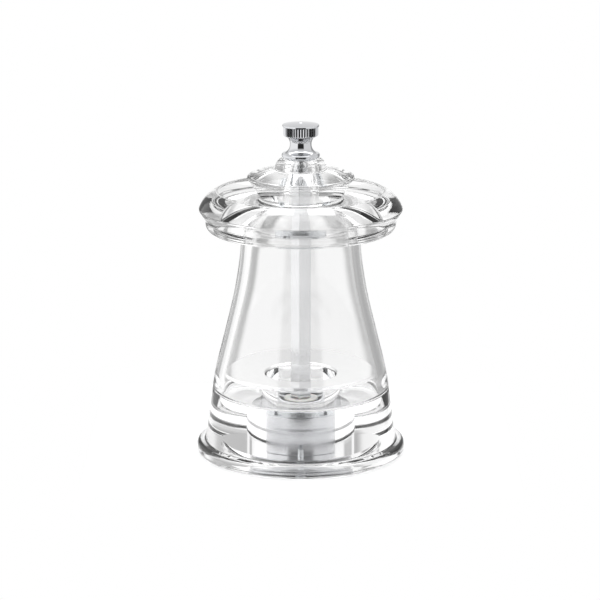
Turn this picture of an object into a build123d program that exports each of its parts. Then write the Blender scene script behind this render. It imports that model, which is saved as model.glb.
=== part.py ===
from build123d import *
import math
import os

os.makedirs("parts", exist_ok=True)

# Table pepper mill with a clear acrylic body and head. Millimetres, +Z up, and the origin is
# the centre of the base on the table. Every outline is drawn as (radius, height).

# ---- whole mill
HEIGHT = 110.0  # table to the top of the knob
HEAD_FLOOR_Z = 74.5  # underside of the head, where it rests on the body's shoulder
KNOB_FOOT_Z = 98.3  # top land of the head, where the knob bears
FACET_TURN = 37.0  # degrees that the square shaft is turned about the axis

# ---- body: solid acrylic foot, chamber bored from above, mechanism bore from below
FLANGE_R = 34.2
FLANGE_TOP_Z = 4.0
BODY_WALL = 3.2
BODY_OUTLINE = [(31.5, 4.4), (30.2, 13.4), (28.2, 27.0), (24.9, 40.7), (21.7, 54.3), (19.9, 66.0)]
SHOULDER_R = 19.5
NECK_R = 18.2
NECK_BORE_R = 15.4
NECK_TOP_Z = 82.5
CHAMBER_R = 25.7  # foot of the chamber's wall
CHAMBER_Z = 22.0
FOOT_TOP_Z = 18.9  # top of the solid foot, round the mechanism's bore
SEAT_R = 13.6  # flat round the bore that the funnel stands on
BORE_R = 11.8
RECESS_R = 17.4  # shallow recess in the underside, for the base plate
RECESS_Z = 2.2
FIT_GAP = 0.1  # gap between curved faces that are pushed together

# ---- funnel, the clear insert that is the floor under the peppercorns
FUNNEL_RIM_Z = 28.0
FUNNEL_RIM_R = 24.6
FUNNEL_THROAT_Z = 26.4
FUNNEL_WALL = 1.3
THROAT_R = 11.6

# ---- grinding mechanism
HOUSING_R = 11.7
HOUSING_BORE_R = 10.5
STATOR_FOOT_Z = 4.2
STATOR_OUTLET_R = 9.4
BRIDGE_Z = 15.0
BRIDGE_PLATE = 1.5
CLIP_GROOVE_R = 11.05
CLIP_THICKNESS = 0.9
BASE_PLATE_Z = 1.4
BASE_SCREW_CIRCLE_R = 14.6
TEETH = 24

# ---- shaft and what rides on it
SHAFT_SIDE = 4.76  # 3/16 inch square bar
SHAFT_FOOT_Z = 4.6
SHAFT_STUD_Z = 93.5
SHAFT_TOP_Z = 106.6
KNOB_STUD_R = 2.45  # M5 outside radius, with running clearance in the knob's bore
FOOT_STUD_R = 1.95  # M4
ROTOR_TOP_Z = 12.8
SPRING_TOP_Z = 14.2
SPRING_SEAT_Z = 10.0
SPRING_R = 4.45
SPRING_WIRE_R = 0.35
SPRING_TURNS = 4

# ---- head
SOCKET_R = 18.5
SOCKET_TOP_Z = 83.0
HEAD_BORE_R = 3.9
DRIVE_PLATE_R = 8.2
DRIVE_PLATE_THICKNESS = 1.6
DRIVE_SCREW_R = 6.1

# ---- knob
KNOB_BORE_R = 2.5
KNOB_SKIRT_R = 6.15
KNOB_WAIST_R = 3.5
KNOB_RIM_R = 5.95
KNURLS = 38
KNURL_DEPTH = 0.3


def turned(*lines):
    """A closed outline spun once about the mill's axis."""
    outline = make_face(Curve() + list(lines))
    return revolve(Plane.XZ * outline, Axis.Z)


def turned_points(*points):
    """A closed outline of straight lines spun about the mill's axis."""
    return turned(Polyline(*points, close=True))


def ring(inner, outer, low, high):
    """A plain ring, or a disc when the inner radius is zero."""
    return turned_points((inner, low), (outer, low), (outer, high), (inner, high))


def square_bar(side, low, high):
    """A square bar on the axis, turned as the shaft is."""
    bar = extrude(Rectangle(side, side), high - low)
    return Rot(0, 0, FACET_TURN) * Pos(0, 0, low) * bar


def around(solid, radius, count, start=0.0):
    """Copies of a solid set evenly round a circle."""
    copies = []
    for index in range(count):
        turn = start + index * 360.0 / count
        copies.append(Rot(0, 0, turn) * Pos(radius, 0, 0) * solid)
    return copies


def cut(solid, tools):
    """A solid with every tool taken away from it."""
    return solid - list(tools)


def screw(shank_r, head_r, head_z, head_height, tip_z):
    """A slotted cheese-head screw driven upwards: its head is at the bottom."""
    head = Pos(0, 0, head_z) * extrude(Circle(head_r), head_height)
    shank = Pos(0, 0, head_z + head_height) * extrude(Circle(shank_r), tip_z - head_z - head_height)
    slot = Pos(0, 0, head_z) * Box(2.4 * head_r, 0.25 * head_r, 0.8 * head_height)
    return head + shank - slot


def write(node, shape):
    """Write one node's STEP file."""
    if isinstance(shape, list):
        shape = Compound(children=shape)
    export_step(shape, "parts/" + node + ".step")


# ---- body: an ogee bell on a solid flanged foot, with a neck above
def body_shell():
    chamber_wall = [(radius - BODY_WALL, height) for radius, height in BODY_OUTLINE[2:]]
    flange_round = 1.5
    flange_edge = 1.3
    body = turned(
        Line((RECESS_R, 0), (FLANGE_R - flange_round, 0)),
        ThreePointArc(
            (FLANGE_R - flange_round, 0),
            (FLANGE_R - 0.44, 0.44),
            (FLANGE_R, flange_round),
        ),
        Line((FLANGE_R, flange_round), (FLANGE_R, FLANGE_TOP_Z - flange_edge)),
        ThreePointArc(
            (FLANGE_R, FLANGE_TOP_Z - flange_edge),
            (FLANGE_R - 0.38, FLANGE_TOP_Z - 0.38),
            (FLANGE_R - flange_edge, FLANGE_TOP_Z),
        ),
        Line((FLANGE_R - flange_edge, FLANGE_TOP_Z), BODY_OUTLINE[0]),
        Spline(*BODY_OUTLINE, (SHOULDER_R, HEAD_FLOOR_Z), tangents=[(-0.12, 1), (0, 1)]),
        Line((SHOULDER_R, HEAD_FLOOR_Z), (NECK_R, HEAD_FLOOR_Z)),
        Line((NECK_R, HEAD_FLOOR_Z), (NECK_R, NECK_TOP_Z - 0.6)),
        ThreePointArc(
            (NECK_R, NECK_TOP_Z - 0.6),
            (NECK_R - 0.18, NECK_TOP_Z - 0.18),
            (NECK_R - 0.6, NECK_TOP_Z),
        ),
        Line((NECK_R - 0.6, NECK_TOP_Z), (NECK_BORE_R, NECK_TOP_Z)),
        Line((NECK_BORE_R, NECK_TOP_Z), (NECK_BORE_R, NECK_TOP_Z - 3.5)),
        Spline(
            (NECK_BORE_R, NECK_TOP_Z - 3.5),
            *reversed(chamber_wall),
            (CHAMBER_R, CHAMBER_Z),
            tangents=[(0, -1), (0.15, -1)],
        ),
        ThreePointArc(
            (CHAMBER_R, CHAMBER_Z),
            (CHAMBER_R - 0.3, CHAMBER_Z - 1.4),
            (CHAMBER_R - 1.6, CHAMBER_Z - 2.0),
        ),
        Line((CHAMBER_R - 1.6, CHAMBER_Z - 2.0), (SEAT_R, FOOT_TOP_Z)),
        Line((SEAT_R, FOOT_TOP_Z), (BORE_R + 0.3, FOOT_TOP_Z)),
        Line((BORE_R + 0.3, FOOT_TOP_Z), (BORE_R, FOOT_TOP_Z - 0.3)),
        Line((BORE_R, FOOT_TOP_Z - 0.3), (BORE_R, RECESS_Z)),
        Line((BORE_R, RECESS_Z), (RECESS_R, RECESS_Z)),
        Line((RECESS_R, RECESS_Z), (RECESS_R, 0)),
    )
    pilot = Pos(0, 0, RECESS_Z) * extrude(Circle(0.8), 3.2)
    return cut(body, around(pilot, BASE_SCREW_CIRCLE_R, 2, 90))


# ---- funnel: thin dished plate with a throat tube that stands on the foot
def funnel_insert():
    return turned(
        Line((THROAT_R + 0.8, FUNNEL_THROAT_Z), (FUNNEL_RIM_R - 0.2, FUNNEL_RIM_Z)),
        Line((FUNNEL_RIM_R - 0.2, FUNNEL_RIM_Z), (FUNNEL_RIM_R, FUNNEL_RIM_Z - FUNNEL_WALL)),
        Line(
            (FUNNEL_RIM_R, FUNNEL_RIM_Z - FUNNEL_WALL),
            (THROAT_R + FUNNEL_WALL + 0.5, FUNNEL_THROAT_Z - FUNNEL_WALL),
        ),
        Line(
            (THROAT_R + FUNNEL_WALL + 0.5, FUNNEL_THROAT_Z - FUNNEL_WALL),
            (THROAT_R + FUNNEL_WALL, FUNNEL_THROAT_Z - FUNNEL_WALL - 0.5),
        ),
        Line(
            (THROAT_R + FUNNEL_WALL, FUNNEL_THROAT_Z - FUNNEL_WALL - 0.5),
            (THROAT_R + FUNNEL_WALL, FOOT_TOP_Z),
        ),
        Line((THROAT_R + FUNNEL_WALL, FOOT_TOP_Z), (THROAT_R, FOOT_TOP_Z)),
        Line((THROAT_R, FOOT_TOP_Z), (THROAT_R, FUNNEL_THROAT_Z - 0.8)),
        ThreePointArc(
            (THROAT_R, FUNNEL_THROAT_Z - 0.8),
            (THROAT_R + 0.23, FUNNEL_THROAT_Z - 0.23),
            (THROAT_R + 0.8, FUNNEL_THROAT_Z),
        ),
    )


# ---- mechanism housing: a sleeve pressed into the bore, with a grip groove
def mechanism_housing():
    groove_z = 10.4
    clip_top_z = STATOR_FOOT_Z
    clip_foot_z = STATOR_FOOT_Z - CLIP_THICKNESS
    return turned_points(
        (HOUSING_BORE_R, RECESS_Z),
        (HOUSING_R, RECESS_Z),
        (HOUSING_R, groove_z),
        (HOUSING_R - 0.3, groove_z + 0.15),
        (HOUSING_R - 0.3, groove_z + 0.45),
        (HOUSING_R, groove_z + 0.6),
        (HOUSING_R, BRIDGE_Z - 0.2),
        (HOUSING_R - 0.2, BRIDGE_Z),
        (HOUSING_BORE_R, BRIDGE_Z),
        (HOUSING_BORE_R, clip_top_z + 0.05),
        (CLIP_GROOVE_R, clip_top_z + 0.05),
        (CLIP_GROOVE_R, clip_foot_z - 0.05),
        (HOUSING_BORE_R, clip_foot_z - 0.05),
    )


# ---- stator: toothed outer burr, dropped into the housing from below
STATOR_LINE = [(STATOR_OUTLET_R - 0.1, STATOR_FOOT_Z), (8.3, 9.5), (9.1, BRIDGE_Z)]


def slanted_groove(radius, height, length, width, slope, lead):
    """A V-groove cutter whose ridge runs along a cone's surface at a lead angle."""
    wedge = extrude(RegularPolygon(width, 3), length, both=True)
    return Pos(radius, 0, height) * Rot(lead, slope, 0) * wedge


def stator():
    body = turned_points(
        STATOR_LINE[0],
        (HOUSING_BORE_R - 0.05, STATOR_FOOT_Z),
        (HOUSING_BORE_R - 0.05, BRIDGE_Z),
        *reversed(STATOR_LINE[1:]),
    )
    groove = slanted_groove(8.72, 6.8, 3.3, 0.62, -10.7, 14)
    return cut(body, around(groove, 0, TEETH))


# ---- retaining clip: an open spring ring in the housing's groove, under the stator
def retaining_clip():
    low = STATOR_FOOT_Z - CLIP_THICKNESS
    body = ring(STATOR_OUTLET_R + 0.1, CLIP_GROOVE_R - 0.05, low, STATOR_FOOT_Z)
    mouth = Pos(HOUSING_BORE_R, 0, low) * Box(4.0, 3.0, 4.0)
    return body - mouth


# ---- base plate: closes the recess and holds the housing up
def base_plate():
    body = turned_points(
        (STATOR_OUTLET_R, BASE_PLATE_Z),
        (RECESS_R - 0.5, BASE_PLATE_Z),
        (RECESS_R - 0.15, BASE_PLATE_Z + 0.3),
        (RECESS_R - 0.15, RECESS_Z),
        (STATOR_OUTLET_R, RECESS_Z),
    )
    hole = extrude(Circle(0.95), 4.0)
    return cut(body, around(hole, BASE_SCREW_CIRCLE_R, 2, 90))


def base_plate_screws():
    short_screw = screw(0.78, 1.6, BASE_PLATE_Z - 1.0, 1.0, RECESS_Z + 3.0)
    return around(short_screw, BASE_SCREW_CIRCLE_R, 2, 90)


# ---- shaft bridge: notched ring on top of the housing, three arms and a hub for the shaft
def shaft_bridge():
    top = BRIDGE_Z + BRIDGE_PLATE
    notch = Pos(0, 0, BRIDGE_Z + 1.1) * Box(1.2, 2.2, 1.6)
    outer = ring(9.2, HOUSING_R - 0.05, BRIDGE_Z, top)
    outer = cut(outer, around(notch, HOUSING_R, 12, 0))
    hub = ring(0, 5.7, BRIDGE_Z, top)
    arm = Pos(7.4, 0, BRIDGE_Z) * extrude(Rectangle(4.4, 2.4), BRIDGE_PLATE)
    body = outer + hub + around(arm, 0, 3, 30)
    return body - ring(0, 4.6, BRIDGE_Z - 1, top + 1)


def shaft_bush():
    top = BRIDGE_Z + BRIDGE_PLATE
    bore = SHAFT_SIDE / math.sqrt(2) + 0.06
    return turned_points(
        (bore, BRIDGE_Z),
        (4.55, BRIDGE_Z),
        (4.55, top),
        (5.6, top),
        (5.6, top + 0.5),
        (5.3, top + 0.8),
        (bore, top + 0.8),
    )


# ---- pieces on the shaft
def shaft():
    bar = square_bar(SHAFT_SIDE, SHAFT_FOOT_Z, SHAFT_STUD_Z)
    corner = SHAFT_SIDE / math.sqrt(2) + 0.01
    blank = turned_points(
        (0, SHAFT_FOOT_Z),
        (corner - 0.5, SHAFT_FOOT_Z),
        (corner, SHAFT_FOOT_Z + 0.5),
        (corner, SHAFT_STUD_Z - 0.9),
        (corner - 0.9, SHAFT_STUD_Z),
        (0, SHAFT_STUD_Z),
    )
    knob_stud = turned_points(
        (0, SHAFT_STUD_Z - 0.5),
        (KNOB_STUD_R, SHAFT_STUD_Z - 0.5),
        (KNOB_STUD_R, SHAFT_TOP_Z - 0.6),
        (KNOB_STUD_R - 0.6, SHAFT_TOP_Z),
        (0, SHAFT_TOP_Z),
    )
    foot_stud = turned_points(
        (0, 1.6),
        (FOOT_STUD_R - 0.4, 1.6),
        (FOOT_STUD_R, 2.0),
        (FOOT_STUD_R, SHAFT_FOOT_Z + 0.5),
        (0, SHAFT_FOOT_Z + 0.5),
    )
    return (bar & blank) + knob_stud + foot_stud


def thrust_washer():
    return ring(0, 5.5, SPRING_TOP_Z, BRIDGE_Z) - square_bar(SHAFT_SIDE + 0.15, 10, 20)


def adjusting_spring():
    low = SPRING_SEAT_Z + SPRING_WIRE_R
    rise = SPRING_TOP_Z - SPRING_SEAT_Z - 2 * SPRING_WIRE_R
    path = Pos(0, 0, low) * Helix(rise / SPRING_TURNS, rise, SPRING_R)
    section = Plane(origin=path @ 0, z_dir=path % 0) * Circle(SPRING_WIRE_R)
    return sweep(section, path, is_frenet=True)


def spring_seat_washer():
    return ring(0, 5.0, SPRING_SEAT_Z - 0.6, SPRING_SEAT_Z) - square_bar(SHAFT_SIDE + 0.2, 5, 15)


def rotor():
    body = turned_points(
        (0, SHAFT_FOOT_Z),
        (8.5, SHAFT_FOOT_Z),
        (8.9, SHAFT_FOOT_Z + 0.5),
        (7.7, 8.6),
        (6.2, ROTOR_TOP_Z),
        (0, ROTOR_TOP_Z),
    )
    body -= ring(0, 5.2, SPRING_SEAT_Z - 0.6, ROTOR_TOP_Z + 1)
    fine = slanted_groove(8.5, 6.4, 2.4, 0.6, -18.9, -16)
    feed = slanted_groove(7.3, 10.8, 3.2, 1.1, -19.7, -24)
    body = cut(body, around(fine, 0, TEETH))
    body = cut(body, around(feed, 0, TEETH // 4, 7.5))
    return body - square_bar(SHAFT_SIDE + 0.1, 0, 20)


def rotor_washer():
    return ring(FOOT_STUD_R + 0.1, 4.4, SHAFT_FOOT_Z - 0.7, SHAFT_FOOT_Z)


def rotor_nut():
    height = 2.0
    low = SHAFT_FOOT_Z - 0.7 - height
    across_flats_r = 3.5
    hexagon = extrude(RegularPolygon(across_flats_r, 6, major_radius=False), height)
    chamfered = turned_points(
        (0, 0),
        (3.5, 0),
        (4.1, 0.4),
        (4.1, height - 0.4),
        (3.5, height),
        (0, height),
    )
    blank = Pos(0, 0, low) * (hexagon & chamfered)
    return blank - ring(0, FOOT_STUD_R + 0.05, low - 1, low + height + 1)


# ---- head: rim ring with a ridge, a deep groove, a raised disc and a mound under the knob
def head():
    socket_floor = (SOCKET_R, HEAD_FLOOR_Z)
    return turned(
        Line(socket_floor, (28.4, HEAD_FLOOR_Z)),
        TangentArc((28.4, HEAD_FLOOR_Z), (31.0, 76.6), tangent=(1, 0)),
        Line((31.0, 76.6), (31.1, 78.2)),
        Line((31.1, 78.2), (33.0, 81.3)),
        ThreePointArc((33.0, 81.3), (33.1, 81.7), (33.0, 82.1)),
        ThreePointArc((33.0, 82.1), (31.0, 85.2), (27.9, 87.3)),
        ThreePointArc((27.9, 87.3), (27.2, 87.45), (26.7, 87.1)),
        ThreePointArc((26.7, 87.1), (22.4, 85.1), (18.0, 84.5)),
        Line((18.0, 84.5), (15.0, 84.5)),
        ThreePointArc((15.0, 84.5), (13.9, 84.9), (13.7, 86.0)),
        Line((13.7, 86.0), (16.9, 91.2)),
        ThreePointArc((16.9, 91.2), (17.4, 92.1), (16.7, 92.6)),
        ThreePointArc((16.7, 92.6), (13.0, 93.9), (9.2, 94.6)),
        ThreePointArc((9.2, 94.6), (8.5, 94.8), (8.3, 95.2)),
        ThreePointArc((8.3, 95.2), (7.7, 97.1), (6.3, KNOB_FOOT_Z)),
        Line((6.3, KNOB_FOOT_Z), (HEAD_BORE_R, KNOB_FOOT_Z)),
        Line((HEAD_BORE_R, KNOB_FOOT_Z), (HEAD_BORE_R, SOCKET_TOP_Z)),
        Line((HEAD_BORE_R, SOCKET_TOP_Z), (SOCKET_R, SOCKET_TOP_Z)),
        Line((SOCKET_R, SOCKET_TOP_Z), socket_floor),
    )


def head_with_pilots():
    pilot = Pos(0, 0, SOCKET_TOP_Z) * extrude(Circle(0.8), 4.4)
    return cut(head(), around(pilot, DRIVE_SCREW_R, 2, FACET_TURN))


def drive_plate():
    low = SOCKET_TOP_Z - DRIVE_PLATE_THICKNESS
    body = ring(0, DRIVE_PLATE_R, low, SOCKET_TOP_Z) - square_bar(SHAFT_SIDE + 0.15, low - 1, 90)
    hole = Pos(0, 0, low - 1) * extrude(Circle(0.9), 4)
    return cut(body, around(hole, DRIVE_SCREW_R, 2, FACET_TURN))


def drive_plate_screws():
    low = SOCKET_TOP_Z - DRIVE_PLATE_THICKNESS
    short_screw = screw(0.78, 1.5, low - 1.0, 1.0, SOCKET_TOP_Z + 4.0)
    return around(short_screw, DRIVE_SCREW_R, 2, FACET_TURN)


# ---- knob: knurled rim, waist and skirt, threaded inside
def knob():
    blind_z = SHAFT_TOP_Z + 0.5
    body = turned(
        Line((KNOB_BORE_R, KNOB_FOOT_Z), (5.6, KNOB_FOOT_Z)),
        ThreePointArc((5.6, KNOB_FOOT_Z), (KNOB_SKIRT_R, 99.0), (5.9, 99.9)),
        ThreePointArc((5.9, 99.9), (4.2, 100.8), (KNOB_WAIST_R, 102.6)),
        ThreePointArc((KNOB_WAIST_R, 102.6), (3.8, 104.2), (4.9, 105.4)),
        Line((4.9, 105.4), (5.6, 105.7)),
        Line((5.6, 105.7), (5.7, 106.2)),
        Line((5.7, 106.2), (5.7, 108.6)),
        Line((5.7, 108.6), (KNOB_RIM_R, 108.8)),
        ThreePointArc((KNOB_RIM_R, 108.8), (KNOB_RIM_R, 109.1), (KNOB_RIM_R - 0.3, 109.3)),
        ThreePointArc((KNOB_RIM_R - 0.3, 109.3), (3.3, 109.6), (0.7, HEIGHT - 0.25)),
        Line((0.7, HEIGHT - 0.25), (0.4, HEIGHT)),
        Line((0.4, HEIGHT), (0, HEIGHT)),
        Line((0, HEIGHT), (0, blind_z)),
        Line((0, blind_z), (KNOB_BORE_R, blind_z)),
        Line((KNOB_BORE_R, blind_z), (KNOB_BORE_R, KNOB_FOOT_Z)),
    )
    flute = Pos(0, 0, 105.0) * extrude(RegularPolygon(KNURL_DEPTH * 1.25, 4), 3.4)
    return cut(body, around(flute, 5.72, KNURLS))


NODES = {
    "body_shell": body_shell,
    "funnel_insert": funnel_insert,
    "mechanism_housing": mechanism_housing,
    "stator": stator,
    "shaft_bridge": shaft_bridge,
    "shaft_bush": shaft_bush,
    "retaining_clip": retaining_clip,
    "base_plate": base_plate,
    "base_plate_screws": base_plate_screws,
    "thrust_washer": thrust_washer,
    "shaft": shaft,
    "adjusting_spring": adjusting_spring,
    "spring_seat_washer": spring_seat_washer,
    "rotor": rotor,
    "rotor_washer": rotor_washer,
    "rotor_nut": rotor_nut,
    "head": head_with_pilots,
    "drive_plate": drive_plate,
    "drive_plate_screws": drive_plate_screws,
    "knob": knob,
}

for node_name, make in NODES.items():
    write(node_name, make())
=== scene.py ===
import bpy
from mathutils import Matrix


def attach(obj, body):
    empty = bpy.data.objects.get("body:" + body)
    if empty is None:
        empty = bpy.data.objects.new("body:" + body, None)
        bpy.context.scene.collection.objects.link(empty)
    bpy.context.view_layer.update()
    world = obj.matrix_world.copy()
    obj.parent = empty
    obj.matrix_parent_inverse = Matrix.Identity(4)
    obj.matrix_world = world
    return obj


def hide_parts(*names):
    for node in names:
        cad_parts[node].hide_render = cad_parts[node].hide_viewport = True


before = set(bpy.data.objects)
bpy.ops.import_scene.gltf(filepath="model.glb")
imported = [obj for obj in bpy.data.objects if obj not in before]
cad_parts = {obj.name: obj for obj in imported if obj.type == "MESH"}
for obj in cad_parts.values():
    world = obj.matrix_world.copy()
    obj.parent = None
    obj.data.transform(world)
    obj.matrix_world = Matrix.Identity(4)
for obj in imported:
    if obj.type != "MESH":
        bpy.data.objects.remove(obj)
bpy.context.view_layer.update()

import logging
import math
from dataclasses import dataclass, field
from enum import Enum
from typing import Callable, Sequence

import bpy
from mathutils import Vector

LOG = logging.getLogger("pepper_mill")
MM = 0.001
Point = tuple[float, float]
Warp = Callable[[float, float, float], tuple[float, float]]


# ---------------------------------------------------------------------------- colours and nodes


def linear(hex_colour: str) -> tuple[float, float, float, float]:
    """Turn an sRGB hex colour into the linear colour that a shader takes.

    Args:
        hex_colour: six hex digits, such as "d8d9da".

    Returns:
        Linear red, green, blue and an alpha of one.
    """
    parts = [int(hex_colour[i:i + 2], 16) / 255 for i in (0, 2, 4)]
    curved = [p / 12.92 if p <= 0.04045 else ((p + 0.055) / 1.055) ** 2.4 for p in parts]
    return (curved[0], curved[1], curved[2], 1.0)


def add_node(
    tree: bpy.types.NodeTree,
    kind: str,
    settings: dict[str, object] | None = None,
    inputs: dict[str | int, object] | None = None,
) -> bpy.types.Node:
    """Add one node, with its settings, its plain values and its links.

    Args:
        tree: the node tree that takes the node.
        kind: Blender's name for the kind of node.
        settings: attributes of the node itself.
        inputs: input name or number to a plain value, or to an output socket to link from.

    Returns:
        The new node.
    """
    node = tree.nodes.new(kind)
    for name, value in (settings or {}).items():
        setattr(node, name, value)
    for name, value in (inputs or {}).items():
        if isinstance(value, bpy.types.NodeSocket):
            tree.links.new(value, node.inputs[name])
        else:
            node.inputs[name].default_value = value
    return node


def new_material(name: str) -> bpy.types.Material:
    """Make an empty node material with only its output node.

    Args:
        name: the material's name.

    Returns:
        The material.
    """
    material = bpy.data.materials.new(name)
    material.use_nodes = True
    material.node_tree.nodes.clear()
    add_node(material.node_tree, "ShaderNodeOutputMaterial")
    return material


def show(material: bpy.types.Material, shader: bpy.types.NodeSocket) -> bpy.types.Material:
    """Link a shader to a material's output.

    Args:
        material: the material.
        shader: the shader's output socket.

    Returns:
        The same material.
    """
    output = material.node_tree.nodes["Material Output"]
    material.node_tree.links.new(shader, output.inputs["Surface"])
    return material


# ---------------------------------------------------------------------------- finishes


@dataclass(frozen=True)
class ClearAcrylic:
    """Cast acrylic (PMMA), turned and flame-polished clear.

    It bends what is behind it as glass does, a little less strongly, and its polished faces carry
    faint hairlines from wiping that only show where a light glances off them.
    """

    name: str = "clear_cast_acrylic"
    tint: str = "fcfcfc"
    ior: float = 1.49
    hairline_mm: float = 0.9
    roughest: float = 0.035
    lamp_tint: str = "f5f5f5"

    def material(self) -> bpy.types.Material:
        """Build the clear shader, with lamps let straight through it.

        Returns:
            The material.
        """
        material = new_material(self.name)
        tree = material.node_tree
        where = add_node(tree, "ShaderNodeTexCoord")
        wiping = add_node(
            tree, "ShaderNodeTexNoise", {},
            {"Vector": where.outputs["Object"], "Scale": 1 / (self.hairline_mm * MM),
             "Detail": 4.0, "Roughness": 0.7, "Distortion": 1.5},
        )
        rough = add_node(
            tree, "ShaderNodeMapRange", {},
            {"Value": wiping.outputs["Fac"], "From Min": 0.45, "From Max": 0.85,
             "To Min": 0.0, "To Max": self.roughest},
        )
        body = add_node(
            tree, "ShaderNodeBsdfPrincipled", {},
            {"Base Color": linear(self.tint), "Roughness": rough.outputs["Result"],
             "IOR": self.ior, "Transmission Weight": 1.0},
        )
        # A lamp's light falls through clear acrylic nearly undimmed.
        through = add_node(tree, "ShaderNodeBsdfTransparent", {}, {"Color": linear(self.lamp_tint)})
        ray = add_node(tree, "ShaderNodeLightPath")
        mix = add_node(
            tree, "ShaderNodeMixShader", {},
            {0: ray.outputs["Is Shadow Ray"], 1: body.outputs[0], 2: through.outputs[0]},
        )
        return show(material, mix.outputs[0])


class Lay(Enum):
    """Which way the fine lines of a worked surface run: how often they repeat along X, Y and Z."""

    AXIAL = (1.0, 1.0, 0.03)
    ROUND = (0.04, 0.04, 1.0)
    NONE = (1.0, 1.0, 1.0)


@dataclass(frozen=True)
class WorkedMetal:
    """A bare or plated metal surface with the fine lines that its making left.

    The lines spread the highlight across them, so a drawn bar glints in streaks along its length
    and a turned cup in rings.
    """

    name: str
    colour: str
    worn: str
    roughness: float
    spread: float
    line_mm: float
    lay: Lay
    bump_mm: float = 0.004
    patch_mm: float = 6.0

    def material(self) -> bpy.types.Material:
        """Build the metal with lined roughness, a little tarnish and a fine bump.

        Returns:
            The material.
        """
        material = new_material(self.name)
        tree = material.node_tree
        where = add_node(tree, "ShaderNodeTexCoord")
        stretch = add_node(
            tree, "ShaderNodeMapping", {},
            {"Vector": where.outputs["Object"], "Scale": self.lay.value},
        )
        lines = add_node(
            tree, "ShaderNodeTexNoise", {},
            {"Vector": stretch.outputs["Vector"], "Scale": 1 / (self.line_mm * MM),
             "Detail": 3.0, "Roughness": 0.6},
        )
        patches = add_node(
            tree, "ShaderNodeTexNoise", {},
            {"Vector": where.outputs["Object"], "Scale": 1 / (self.patch_mm * MM), "Detail": 3.0},
        )
        rough = add_node(
            tree, "ShaderNodeMapRange", {},
            {"Value": lines.outputs["Fac"], "From Min": 0.25, "From Max": 0.75,
             "To Min": max(self.roughness - self.spread, 0.02),
             "To Max": self.roughness + self.spread},
        )
        colour = add_node(
            tree, "ShaderNodeMix", {"data_type": "RGBA"},
            {0: patches.outputs["Fac"], 6: linear(self.colour), 7: linear(self.worn)},
        )
        bump = add_node(
            tree, "ShaderNodeBump", {},
            {"Height": lines.outputs["Fac"], "Strength": 0.35, "Distance": self.bump_mm * MM},
        )
        body = add_node(
            tree, "ShaderNodeBsdfPrincipled", {},
            {"Base Color": colour.outputs[2], "Metallic": 1.0,
             "Roughness": rough.outputs["Result"], "Normal": bump.outputs["Normal"]},
        )
        return show(material, body.outputs[0])


@dataclass(frozen=True)
class MouldedAcetal:
    """White acetal, moulded and a little waxy, so that it is soft-edged in its highlights."""

    name: str = "moulded_white_acetal"
    colour: str = "e9e8e4"
    roughness: float = 0.38
    grain_mm: float = 0.25

    def material(self) -> bpy.types.Material:
        """Build the plastic with a fine moulding grain.

        Returns:
            The material.
        """
        material = new_material(self.name)
        tree = material.node_tree
        where = add_node(tree, "ShaderNodeTexCoord")
        grain = add_node(
            tree, "ShaderNodeTexNoise", {},
            {"Vector": where.outputs["Object"], "Scale": 1 / (self.grain_mm * MM), "Detail": 2.0},
        )
        bump = add_node(
            tree, "ShaderNodeBump", {},
            {"Height": grain.outputs["Fac"], "Strength": 0.3, "Distance": 0.01 * MM},
        )
        body = add_node(
            tree, "ShaderNodeBsdfPrincipled", {},
            {"Base Color": linear(self.colour), "Roughness": self.roughness,
             "Subsurface Weight": 0.1, "Subsurface Scale": 1.0 * MM,
             "Normal": bump.outputs["Normal"]},
        )
        return show(material, body.outputs[0])


# ---------------------------------------------------------------------------- outlines and meshes


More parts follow.
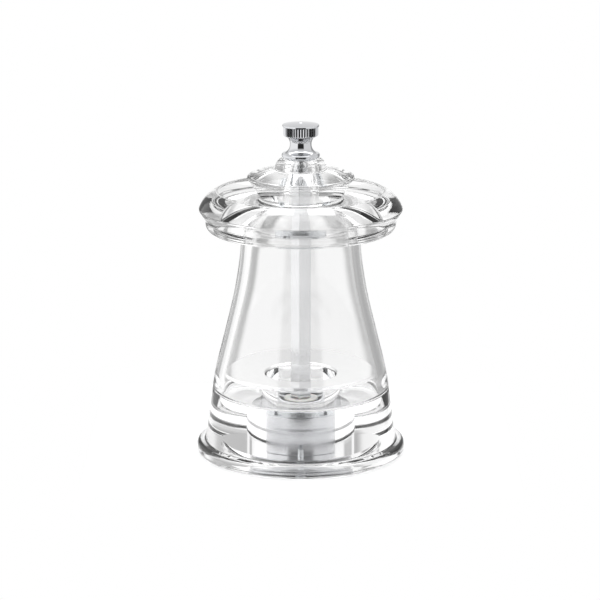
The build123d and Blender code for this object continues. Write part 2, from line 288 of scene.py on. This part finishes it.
class Outline:
    """A section drawn as (radius, height) in millimetres, point by point."""

    def __init__(self, radius: float, height: float) -> None:
        """Start the outline at a point."""
        self.points: list[Point] = [(radius, height)]
        self.soft: dict[int, float] = {}

    def line(self, radius: float, height: float) -> "Outline":
        """Go straight to a point."""
        self.points.append((radius, height))
        return self

    def soften(self, reach: float) -> "Outline":
        """Round the corner at the last point, starting this far before and after it."""
        self.soft[len(self.points) - 1] = reach
        return self

    def arc(self, middle: Point, end: Point, step: float = 0.15) -> "Outline":
        """Go along the circle through the last point, a middle point and an end point.

        Args:
            middle: a point on the arc.
            end: the arc's last point.
            step: the length of each straight piece.

        Returns:
            The outline.
        """
        (x1, y1), (x2, y2), (x3, y3) = self.points[-1], middle, end
        scale = 2 * (x1 * (y2 - y3) + x2 * (y3 - y1) + x3 * (y1 - y2))
        s1, s2, s3 = x1 * x1 + y1 * y1, x2 * x2 + y2 * y2, x3 * x3 + y3 * y3
        cx = (s1 * (y2 - y3) + s2 * (y3 - y1) + s3 * (y1 - y2)) / scale
        cy = (s1 * (x3 - x2) + s2 * (x1 - x3) + s3 * (x2 - x1)) / scale
        radius = math.hypot(x1 - cx, y1 - cy)
        first = math.atan2(y1 - cy, x1 - cx)
        turn_mid = (math.atan2(y2 - cy, x2 - cx) - first) % math.tau
        turn = (math.atan2(y3 - cy, x3 - cx) - first) % math.tau
        if turn_mid > turn:
            turn -= math.tau
        count = max(4, math.ceil(abs(turn) * radius / step))
        for i in range(1, count + 1):
            angle = first + turn * i / count
            self.points.append((cx + radius * math.cos(angle), cy + radius * math.sin(angle)))
        return self

    def curve(self, through: Sequence[Point], leave: Point, arrive: Point) -> "Outline":
        """Go along a smooth curve through points, leaving and arriving in given directions.

        Args:
            through: the points after the last one.
            leave: the direction at the start.
            arrive: the direction at the end.

        Returns:
            The outline.
        """
        knots = [self.points[-1], *through]
        slopes = [self._unit(leave)]
        for before, after in zip(knots[:-2], knots[2:]):
            slopes.append(self._unit((after[0] - before[0], after[1] - before[1])))
        slopes.append(self._unit(arrive))
        for (p, q), (m, n) in zip(zip(knots[:-1], knots[1:]), zip(slopes[:-1], slopes[1:])):
            span = math.dist(p, q)
            for i in range(1, 13):
                t = i / 12
                h = (2 * t**3 - 3 * t**2 + 1, t**3 - 2 * t**2 + t, 3 * t**2 - 2 * t**3, t**3 - t**2)
                self.points.append(tuple(
                    h[0] * p[k] + h[1] * span * m[k] + h[2] * q[k] + h[3] * span * n[k]
                    for k in (0, 1)
                ))
        return self

    @staticmethod
    def _unit(way: Point) -> Point:
        """The same direction with a length of one."""
        size = math.hypot(*way)
        return (way[0] / size, way[1] / size)

    def closed(self) -> list[Point]:
        """Work out the outline's points with its corners rounded.

        Returns:
            The points once round, the last of them joined to the first.
        """
        points = self.points[:-1] if math.dist(self.points[0], self.points[-1]) < 1e-6 else self.points
        done: list[Point] = []
        count = len(points)
        for index, corner in enumerate(points):
            reach = self.soft.get(index)
            if reach is None:
                done.append(corner)
                continue
            before, after = points[index - 1], points[(index + 1) % count]
            back = min(reach, 0.49 * math.dist(corner, before))
            ahead = min(reach, 0.49 * math.dist(corner, after))
            start = self._towards(corner, before, back)
            end = self._towards(corner, after, ahead)
            for i in range(7):
                t = i / 6
                w = ((1 - t) ** 2, 2 * t * (1 - t), t * t)
                done.append((
                    w[0] * start[0] + w[1] * corner[0] + w[2] * end[0],
                    w[0] * start[1] + w[1] * corner[1] + w[2] * end[1],
                ))
        return done

    @staticmethod
    def _towards(origin: Point, target: Point, distance: float) -> Point:
        """The point this far from one point towards another."""
        share = distance / math.dist(origin, target)
        return (
            origin[0] + (target[0] - origin[0]) * share,
            origin[1] + (target[1] - origin[1]) * share,
        )


def divided(outline: Sequence[Point], step: float, above: float = 0.0) -> list[Point]:
    """Split the long straight stretches of an outline, so that a warp can shape them.

    Args:
        outline: the section's points.
        step: the longest stretch that is left whole, in millimetres.
        above: only stretches that end above this height are split.

    Returns:
        The points with the new ones among them.
    """
    points: list[Point] = []
    for (r, z), (r2, z2) in zip(outline, [*outline[1:], outline[0]]):
        whole = max(z, z2) <= above or max(r, r2) < 1e-6
        parts = 1 if whole else max(1, math.ceil(math.dist((r, z), (r2, z2)) / step))
        points += [(r + (r2 - r) * i / parts, z + (z2 - z) * i / parts) for i in range(parts)]
    return points


def held(outline: Sequence[Point], near: float = 0.06, long: float = 0.8, turn: float = 2.0) -> list[Point]:
    """Add a point just inside each end of a long flat that ends in a bend.

    The smooth shading of the bend then stays at the bend, and the flat refracts as a flat.

    Args:
        outline: the section's points.
        near: how far inside the end the new point lies, in millimetres.
        long: the shortest stretch that counts as long.
        turn: the smallest bend, in degrees, that counts as one.

    Returns:
        The points with the new ones among them.
    """
    count = len(outline)
    ways = [
        math.atan2(outline[(i + 1) % count][1] - outline[i][1], outline[(i + 1) % count][0] - outline[i][0])
        for i in range(count)
    ]
    points: list[Point] = []
    for i, (start, way) in enumerate(zip(outline, ways)):
        end = outline[(i + 1) % count]
        points.append(start)
        if math.dist(start, end) < long:
            continue
        step = (near * math.cos(way), near * math.sin(way))
        bends = [abs(math.remainder(way - other, math.tau)) for other in (ways[i - 1], ways[(i + 1) % count])]
        if bends[0] > math.radians(turn):
            points.append((start[0] + step[0], start[1] + step[1]))
        if bends[1] > math.radians(turn):
            points.append((end[0] - step[0], end[1] - step[1]))
    return points


def plain(radius: float, height: float, angle: float) -> tuple[float, float]:
    """Leave a turned surface as it is."""
    return radius, height


def lathe(name: str, outline: Sequence[Point], segments: int = 240, warp: Warp = plain) -> bpy.types.Object:
    """Spin a closed section about the mill's axis into a closed mesh.

    Args:
        name: the new object's name.
        outline: the section's points, (radius, height) in millimetres.
        segments: how many steps there are in a full turn.
        warp: moves each point, given its radius, height and angle, to a new radius and height.

    Returns:
        The new object, in metres.
    """
    vertices: list[tuple[float, float, float]] = []
    rows: list[list[int]] = []
    for radius, height in held(outline):
        if radius < 1e-5:
            rows.append([len(vertices)] * segments)
            vertices.append((0.0, 0.0, height * MM))
            continue
        row = []
        for step in range(segments):
            angle = math.tau * step / segments
            r, z = warp(radius, height, angle)
            row.append(len(vertices))
            vertices.append((r * math.cos(angle) * MM, r * math.sin(angle) * MM, z * MM))
        rows.append(row)
    faces: list[tuple[int, ...]] = []
    for low, high in zip(rows, rows[1:] + rows[:1]):
        for step in range(segments):
            ahead = (step + 1) % segments
            loop = (low[step], low[ahead], high[ahead], high[step])
            kept = tuple(dict.fromkeys(loop))
            if len(kept) > 2:
                faces.append(kept)
    return mesh_object(name, vertices, faces)


def mesh_object(
    name: str,
    vertices: Sequence[tuple[float, float, float]],
    faces: Sequence[tuple[int, ...]],
    crease: float = 32.0,
) -> bpy.types.Object:
    """Make a smooth-shaded object whose corners stay crisp.

    Args:
        name: the new object's name.
        vertices: its points, in metres.
        faces: its faces, as indices of points.
        crease: the angle in degrees past which an edge is shaded sharp.

    Returns:
        The new object, linked into the scene.
    """
    mesh = bpy.data.meshes.new(name)
    mesh.from_pydata(vertices, [], faces)
    mesh.validate()
    mesh.shade_smooth()
    mesh.set_sharp_from_angle(angle=math.radians(crease))
    thing = bpy.data.objects.new(name, mesh)
    bpy.context.scene.collection.objects.link(thing)
    return thing


def dress(thing: bpy.types.Object, material: bpy.types.Material) -> None:
    """Give an object one material."""
    thing.data.materials.clear()
    thing.data.materials.append(material)


# ---------------------------------------------------------------------------- sub-assemblies


@dataclass
class Materials:
    """Every finish on the mill, each made once."""

    acrylic: bpy.types.Material
    chrome: bpy.types.Material
    aluminium: bpy.types.Material
    nickel: bpy.types.Material
    zinc: bpy.types.Material
    burr: bpy.types.Material
    spring: bpy.types.Material
    acetal: bpy.types.Material

    @classmethod
    def make(cls) -> "Materials":
        """Make every finish.

        Returns:
            The set of them.
        """
        return cls(
            acrylic=ClearAcrylic().material(),
            chrome=WorkedMetal("polished_chrome_plate", "d2d3d5", "c6c7ca", 0.045, 0.02, 0.4,
                               Lay.ROUND, 0.001).material(),
            aluminium=WorkedMetal("drawn_satin_aluminium", "ececed", "e4e5e6", 0.22, 0.06, 0.12,
                                  Lay.AXIAL).material(),
            nickel=WorkedMetal("satin_nickel_plate", "dcdddf", "d2d3d6", 0.24, 0.05, 0.08,
                               Lay.ROUND, 0.001).material(),
            zinc=WorkedMetal("bright_zinc_plate", "dcdee0", "d0d3d6", 0.28, 0.08, 0.3,
                             Lay.NONE).material(),
            burr=WorkedMetal("hardened_burr_steel", "77787b", "5f6064", 0.36, 0.1, 0.12,
                             Lay.ROUND).material(),
            spring=WorkedMetal("drawn_spring_wire", "9a9b9e", "87888b", 0.25, 0.06, 0.1,
                               Lay.NONE).material(),
            acetal=MouldedAcetal().material(),
        )


@dataclass
class Body:
    """The clear bell on its solid foot, with the thin funnel that stands in it.

    The recess ends a hair above the base plate, for the film of air between the two.
    """

    flange_r: float = 34.2
    flange_top: float = 4.0
    wall: float = 3.2
    outline: tuple[Point, ...] = (
        (31.5, 4.4), (30.2, 13.4), (28.2, 27.0), (24.9, 40.7), (21.7, 54.3), (19.9, 66.0),
    )
    shoulder: Point = (19.5, 74.47)
    neck_r: float = 18.2
    neck_bore: float = 15.4
    neck_top: float = 82.5
    chamber_foot: Point = (25.7, 22.0)
    foot_top: float = 18.9
    seat_r: float = 13.6
    bore_r: float = 11.8
    recess: Point = (17.4, 2.22)
    throat_r: float = 11.6
    throat_z: float = 26.4
    funnel_rim: Point = (24.6, 28.0)
    funnel_wall: float = 1.3

    def build(self, finishes: Materials) -> list[bpy.types.Object]:
        """Build and dress the bell and the funnel."""
        return [self._bell(finishes), self._funnel(finishes)]

    def _bell(self, finishes: Materials) -> bpy.types.Object:
        """Turn the bell with its flange, chamber, bore and neck.

        Args:
            finishes: the mill's finishes.

        Returns:
            The bell.
        """
        wall_line = [(r - self.wall, z) for r, z in self.outline[2:]]
        foot_r, foot_z = self.chamber_foot
        drawn = (
            Outline(self.recess[0], 0).soften(0.4)
            .line(self.flange_r, 0).soften(1.7)
            .line(self.flange_r, self.flange_top).soften(1.5)
            .line(*self.outline[0]).soften(0.35)
            .curve([*self.outline[1:], self.shoulder], (-0.12, 1), (0, 1))
            .line(self.neck_r, self.shoulder[1])
            .line(self.neck_r, self.neck_top).soften(0.6)
            .line(self.neck_bore, self.neck_top).soften(0.4)
            .line(self.neck_bore, self.neck_top - 3.5)
            .curve([*wall_line[::-1], self.chamber_foot], (0, -1), (0.15, -1))
            .arc((foot_r - 0.3, foot_z - 1.4), (foot_r - 1.6, foot_z - 2.0))
            .line(self.seat_r, self.foot_top).soften(0.5)
            .line(self.bore_r, self.foot_top).soften(0.4)
            .line(self.bore_r, self.recess[1])
            .line(*self.recess)
        )
        bell = lathe("bell_body", drawn.closed(), 288)
        dress(bell, finishes.acrylic)
        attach(bell, "body")
        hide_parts("body_shell")
        return bell

    def _funnel(self, finishes: Materials) -> bpy.types.Object:
        """Turn the thin dished floor and the throat tube under it.

        Args:
            finishes: the mill's finishes.

        Returns:
            The funnel.
        """
        rim_r, rim_z = self.funnel_rim
        tube_r = self.throat_r + self.funnel_wall
        drawn = (
            Outline(self.throat_r, self.throat_z).soften(0.9)
            .line(rim_r, rim_z).soften(0.3)
            .line(rim_r, rim_z - self.funnel_wall).soften(0.3)
            .line(tube_r, self.throat_z - self.funnel_wall).soften(0.6)
            .line(tube_r, self.foot_top + 0.02).soften(0.2)
            .line(self.throat_r, self.foot_top + 0.02).soften(0.2)
        )
        funnel = lathe("funnel_insert_clear", drawn.closed())
        dress(funnel, finishes.acrylic)
        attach(funnel, "body")
        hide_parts("funnel_insert")
        return funnel


@dataclass
class Housing:
    """The nickel-plated sleeve that the burrs sit in, pressed into the bore."""

    outer_r: float = 11.7
    inner_r: float = 10.5
    foot: float = 2.22
    top: float = 14.98
    groove_z: float = 10.4
    groove_depth: float = 0.3

    def build(self, finishes: Materials) -> list[bpy.types.Object]:
        """Turn the sleeve with its grip groove.

        Args:
            finishes: the mill's finishes.

        Returns:
            The sleeve, in a list of one.
        """
        drawn = (
            Outline(self.inner_r, self.foot)
            .line(self.outer_r, self.foot).soften(0.2)
            .line(self.outer_r, self.groove_z).soften(0.12)
            .line(self.outer_r - self.groove_depth, self.groove_z + 0.2).soften(0.1)
            .line(self.outer_r - self.groove_depth, self.groove_z + 0.45).soften(0.1)
            .line(self.outer_r, self.groove_z + 0.65).soften(0.12)
            .line(self.outer_r, self.top).soften(0.3)
            .line(self.inner_r, self.top).soften(0.25)
        )
        sleeve = lathe("housing_sleeve", drawn.closed(), 288)
        dress(sleeve, finishes.nickel)
        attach(sleeve, "body")
        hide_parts("mechanism_housing")
        return [sleeve]


@dataclass
class Shaft:
    """The square drive bar, with rounded corners and a cut thread at its upper end."""

    side: float = 4.76
    turn_deg: float = 37.0
    foot: float = 4.6
    shoulder: float = 93.5
    top: float = 106.6
    knob_stud_r: float = 2.45
    foot_stud_r: float = 1.95
    corner_power: float = 22.0
    pitch: float = 0.8
    thread_depth: float = 0.42
    thread_foot: float = 94.3

    def build(self, finishes: Materials) -> list[bpy.types.Object]:
        """Draw the bar as a turned blank that is then squared and threaded.

        Args:
            finishes: the mill's finishes.

        Returns:
            The bar, in a list of one.
        """
        corner = self.side / math.sqrt(2)
        drawn = (
            Outline(0.0, 1.6)
            .line(self.foot_stud_r, 1.6).soften(0.4)
            .line(self.foot_stud_r, self.foot)
            .line(corner, self.foot).soften(0.5)
            .line(corner, self.shoulder).soften(0.9)
            .line(self.knob_stud_r, self.shoulder)
            .line(self.knob_stud_r, self.top).soften(0.6)
            .line(0.0, self.top)
        )
        bar = lathe("square_shaft", divided(drawn.closed(), 0.1, self.shoulder), 192, self._shape)
        dress(bar, finishes.aluminium)
        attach(bar, "spindle")
        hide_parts("shaft")
        return [bar]

    def _shape(self, radius: float, height: float, angle: float) -> tuple[float, float]:
        """Square the bar between its studs and cut the thread above it.

        Args:
            radius: the point's radius, in millimetres.
            height: its height, in millimetres.
            angle: its angle round the axis, in radians.

        Returns:
            The new radius and height.
        """
        if height > self.thread_foot and radius > self.knob_stud_r - 0.3:
            phase = (height / self.pitch - angle / math.tau) % 1.0
            return radius - self.thread_depth * abs(2 * phase - 1), height
        if radius <= self.knob_stud_r:
            return radius, height
        turned = angle - math.radians(self.turn_deg)
        power = self.corner_power
        spread = abs(math.cos(turned)) ** power + abs(math.sin(turned)) ** power
        return min(radius, self.side / 2 * spread ** (-1 / power)), height


@dataclass
class Head:
    """The thick clear head: rim ring, valley, raised disc and mound.

    Its socket ends a hair above the drive plate, which leaves the film of air that a screwed
    plate has under it.
    """

    floor_z: float = 74.5
    socket_r: float = 18.5
    socket_top: float = 83.03
    bore_r: float = 3.9
    knob_foot: float = 98.3

    def build(self, finishes: Materials) -> list[bpy.types.Object]:
        """Build and dress the head.

        Args:
            finishes: the mill's finishes.

        Returns:
            The head, in a list of one.
        """
        drawn = (
            Outline(self.socket_r, self.floor_z).soften(0.4)
            .line(28.4, self.floor_z)
            .arc((30.15, 75.1), (31.0, 76.6))
            .line(31.1, 78.2).soften(0.3)
            .line(33.0, 81.3)
            .arc((33.1, 81.7), (33.0, 82.1))
            .arc((31.0, 85.2), (27.9, 87.3))
            .arc((27.2, 87.45), (26.7, 87.1))
            .arc((22.4, 85.1), (18.0, 84.5))
            .line(15.0, 84.5)
            .arc((13.9, 84.9), (13.7, 86.0))
            .line(16.9, 91.2)
            .arc((17.4, 92.1), (16.7, 92.6))
            .arc((13.0, 93.9), (9.2, 94.6))
            .arc((8.5, 94.8), (8.3, 95.2))
            .arc((7.7, 97.1), (6.3, self.knob_foot))
            .line(self.bore_r, self.knob_foot).soften(0.2)
            .line(self.bore_r, self.socket_top).soften(0.2)
            .line(self.socket_r, self.socket_top).soften(0.5)
        )
        crown = lathe("head_crown", drawn.closed())
        dress(crown, finishes.acrylic)
        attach(crown, "head")
        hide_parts("head")
        return [crown]


@dataclass
class Knob:
    """The chromed adjusting knob."""

    foot: float = 98.33
    top: float = 110.0
    bore_r: float = 2.5
    bore_top: float = 107.1
    knurls: int = 38
    knurl_depth: float = 0.45
    knurl_low: float = 105.6
    knurl_high: float = 108.6

    def build(self, finishes: Materials) -> list[bpy.types.Object]:
        """Build and dress the knob.

        Args:
            finishes: the mill's finishes.

        Returns:
            The knob, in a list of one.
        """
        drawn = (
            Outline(self.bore_r, self.foot)
            .line(5.6, self.foot)
            .arc((6.15, 99.0), (5.9, 99.9))
            .arc((4.2, 100.8), (3.5, 102.6))
            .arc((3.8, 104.2), (4.9, 105.4))
            .line(5.6, 105.7).soften(0.2)
            .line(5.7, 106.2)
            .line(5.7, 108.5)
            .line(5.95, 108.75).soften(0.1)
            .line(5.95, 109.2).soften(0.2)
            .arc((3.3, 109.6), (0.7, 109.75))
            .line(0.4, self.top).soften(0.1)
            .line(0.0, self.top)
            .line(0.0, self.bore_top)
            .line(self.bore_r, self.bore_top)
        )
        knob = lathe("adjusting_knob", divided(drawn.closed(), 0.3), self.knurls * 12, self._knurl)
        dress(knob, finishes.chrome)
        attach(knob, "knob")
        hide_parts("knob")
        return [knob]

    def _knurl(self, radius: float, height: float, angle: float) -> tuple[float, float]:
        """Sink straight V-shaped flutes into the rim.

        Args:
            radius: the point's radius, in millimetres.
            height: its height, in millimetres.
            angle: its angle round the axis, in radians.

        Returns:
            The new radius and height.
        """
        if radius < 5.0 or not self.knurl_low - 0.4 < height < self.knurl_high + 0.1:
            return radius, height
        fade = min(1.0, (height - self.knurl_low + 0.4) / 0.4, (self.knurl_high + 0.1 - height) / 0.2)
        phase = (angle * self.knurls / math.tau) % 1.0
        flute = abs(2 * phase - 1) ** 1.3
        return radius - self.knurl_depth * flute * fade, height


@dataclass
class Studio:
    """A small white table, soft light all round and the camera. None of it is part of the mill.

    In round_the_room each pair is a bearing in degrees and how bright the room is there. Bearings
    start behind the mill and go by way of its left: 90 is left, 180 the camera's side, 270 right.
    """

    lens_mm: float = 171.2
    distance: float = 0.934
    pitch_deg: float = 14.0
    aim: Vector = field(default_factory=lambda: Vector((-0.00025, 0.0, 0.0509)))
    table: tuple[Point, Point] = ((-0.07, -0.05), (0.07, 0.08))
    ceiling: float = 0.9
    ceiling_from: float = 0.15
    ceiling_full: float = 0.65
    overhead_watts: float = 18.0
    overhead_place: tuple[float, float, float] = (0.0, 0.3, 1.4)
    overhead_aim: tuple[float, float, float] = (0.0, 0.2, 0.0)
    overhead_side: float = 2.2
    most_bounces: int = 24
    round_the_room: tuple[tuple[float, float], ...] = (
        (0, 0.95), (360, 0.95), (10, 0.95), (15, 0.34), (25, 0.34), (31, 0.95), (60, 1.3),
        (144, 1.3), (151, 0.03), (209, 0.03), (216, 1.0), (300, 1.0), (312, 0.45), (342, 0.42),
        (350, 0.95),
    )

    def build(self) -> None:
        """Set up the floor, the lights, the surroundings and the camera."""
        self._floor()
        self._surroundings()
        self._overhead()
        self._camera()
        scene = bpy.context.scene
        scene.view_settings.view_transform = "Standard"
        scene.cycles.max_bounces = self.most_bounces
        scene.cycles.transmission_bounces = self.most_bounces
        scene.cycles.transparent_max_bounces = self.most_bounces

    def _floor(self) -> None:
        """Lay a white table top only a little larger than the mill's foot."""
        material = new_material("white_table_top")
        tree = material.node_tree
        where = add_node(tree, "ShaderNodeTexCoord")
        grain = add_node(
            tree, "ShaderNodeTexNoise", {}, {"Vector": where.outputs["Object"], "Scale": 90.0},
        )
        tone = add_node(
            tree, "ShaderNodeMix", {"data_type": "RGBA"},
            {0: grain.outputs["Fac"], 6: linear("f9f9f9"), 7: linear("f6f6f7")},
        )
        body = add_node(
            tree, "ShaderNodeBsdfPrincipled", {},
            {"Base Color": tone.outputs[2], "Roughness": 0.7, "Specular IOR Level": 0.1},
        )
        show(material, body.outputs[0])
        (left, near), (right, far) = self.table
        floor = mesh_object(
            "studio_table",
            [(left, near, 0), (right, near, 0), (right, far, 0), (left, far, 0)],
            [(0, 1, 2, 3)],
        )
        floor.location.z = -0.0002
        dress(floor, material)

    def _surroundings(self) -> None:
        """Light the room: a pale sweep behind, a soft box at each side and a dark room in front.

        The dark gaps between them draw the edges of the clear pieces, and the dark room in front
        draws the black streaks in the chrome. All of them fade into a pale ceiling.
        """
        world = bpy.data.worlds.new("studio")
        bpy.context.scene.world = world
        world.use_nodes = True
        tree = world.node_tree
        tree.nodes.clear()
        where = add_node(tree, "ShaderNodeTexCoord")
        split = add_node(tree, "ShaderNodeSeparateXYZ", {}, {0: where.outputs["Generated"]})
        nearer = add_node(tree, "ShaderNodeMath", {"operation": "MULTIPLY"}, {0: split.outputs["Y"], 1: -1.0})
        bearing = add_node(
            tree, "ShaderNodeMath", {"operation": "ARCTAN2"},
            {0: split.outputs["X"], 1: nearer.outputs[0]},
        )
        share = add_node(
            tree, "ShaderNodeMapRange", {},
            {"Value": bearing.outputs[0], "From Min": -math.pi, "From Max": math.pi},
        )
        ramp = add_node(tree, "ShaderNodeValToRGB", {}, {"Fac": share.outputs["Result"]})
        ramp.color_ramp.interpolation = "EASE"
        stops = ramp.color_ramp.elements
        for index, (degrees, level) in enumerate(self.round_the_room):
            place = degrees / 360
            stop = stops[index] if index < 2 else stops.new(place)
            stop.position = place
            stop.color = (level, level, level, 1.0)
        up = add_node(
            tree, "ShaderNodeMapRange", {"interpolation_type": "SMOOTHSTEP"},
            {"Value": split.outputs["Z"], "From Min": self.ceiling_from, "From Max": self.ceiling_full},
        )
        roof = add_node(
            tree, "ShaderNodeMix", {"data_type": "RGBA"},
            {0: up.outputs["Result"], 6: ramp.outputs["Color"],
             7: (self.ceiling, self.ceiling, self.ceiling, 1.0)},
        )
        seen = add_node(tree, "ShaderNodeLightPath")
        colour = add_node(
            tree, "ShaderNodeMix", {"data_type": "RGBA"},
            {0: seen.outputs["Is Camera Ray"], 6: roof.outputs[2], 7: (1.0, 1.0, 1.0, 1.0)},
        )
        back = add_node(tree, "ShaderNodeBackground", {}, {"Color": colour.outputs[2]})
        output = add_node(tree, "ShaderNodeOutputWorld")
        tree.links.new(back.outputs[0], output.inputs["Surface"])

    def _overhead(self) -> None:
        """Hang a broad soft light overhead, to bring the table up to white."""
        lamp = bpy.data.lights.new("overhead", "AREA")
        lamp.shape = "RECTANGLE"
        lamp.size, lamp.size_y = self.overhead_side, self.overhead_side
        lamp.energy = self.overhead_watts
        hung = bpy.data.objects.new("overhead", lamp)
        hung.location = self.overhead_place
        way = Vector(self.overhead_aim) - Vector(self.overhead_place)
        hung.rotation_euler = way.to_track_quat("-Z", "Y").to_euler()
        bpy.context.scene.collection.objects.link(hung)

    def _camera(self) -> None:
        """Place the camera in front, looking a little down."""
        pitch = math.radians(self.pitch_deg)
        data = bpy.data.cameras.new("camera")
        data.lens = self.lens_mm
        data.sensor_width = 36.0
        data.clip_start = 0.01
        camera = bpy.data.objects.new("camera", data)
        camera.location = self.aim + self.distance * Vector((0, -math.cos(pitch), math.sin(pitch)))
        camera.rotation_euler = (math.radians(90.0 - self.pitch_deg), 0, 0)
        bpy.context.scene.collection.objects.link(camera)
        bpy.context.scene.camera = camera


CAD_FINISHES = {
    "mechanism_housing": "nickel",
    "retaining_clip": "spring",
    "base_plate": "nickel",
    "base_plate_screws": "zinc",
    "stator": "burr",
    "rotor": "burr",
    "shaft_bridge": "zinc",
    "shaft_bush": "acetal",
    "thrust_washer": "zinc",
    "spring_seat_washer": "zinc",
    "rotor_washer": "zinc",
    "rotor_nut": "zinc",
    "drive_plate": "zinc",
    "drive_plate_screws": "zinc",
    "shaft": "aluminium",
    "adjusting_spring": "spring",
}


def dress_frame(finishes: Materials) -> None:
    """Give the frame's own metal and acetal pieces their finishes.

    Args:
        finishes: the mill's finishes.
    """
    for node, finish in CAD_FINISHES.items():
        dress(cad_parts[node], getattr(finishes, finish))
        LOG.info("frame node %s dressed in %s", node, finish)


def main() -> None:
    """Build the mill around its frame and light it."""
    logging.basicConfig(level=logging.INFO, format="%(name)s: %(message)s")
    finishes = Materials.make()
    dress_frame(finishes)
    for part in (Body(), Housing(), Shaft(), Head(), Knob()):
        for piece in part.build(finishes):
            LOG.info("built %s with %d faces", piece.name, len(piece.data.polygons))
    Studio().build()


if __name__ == "__main__":
    main()
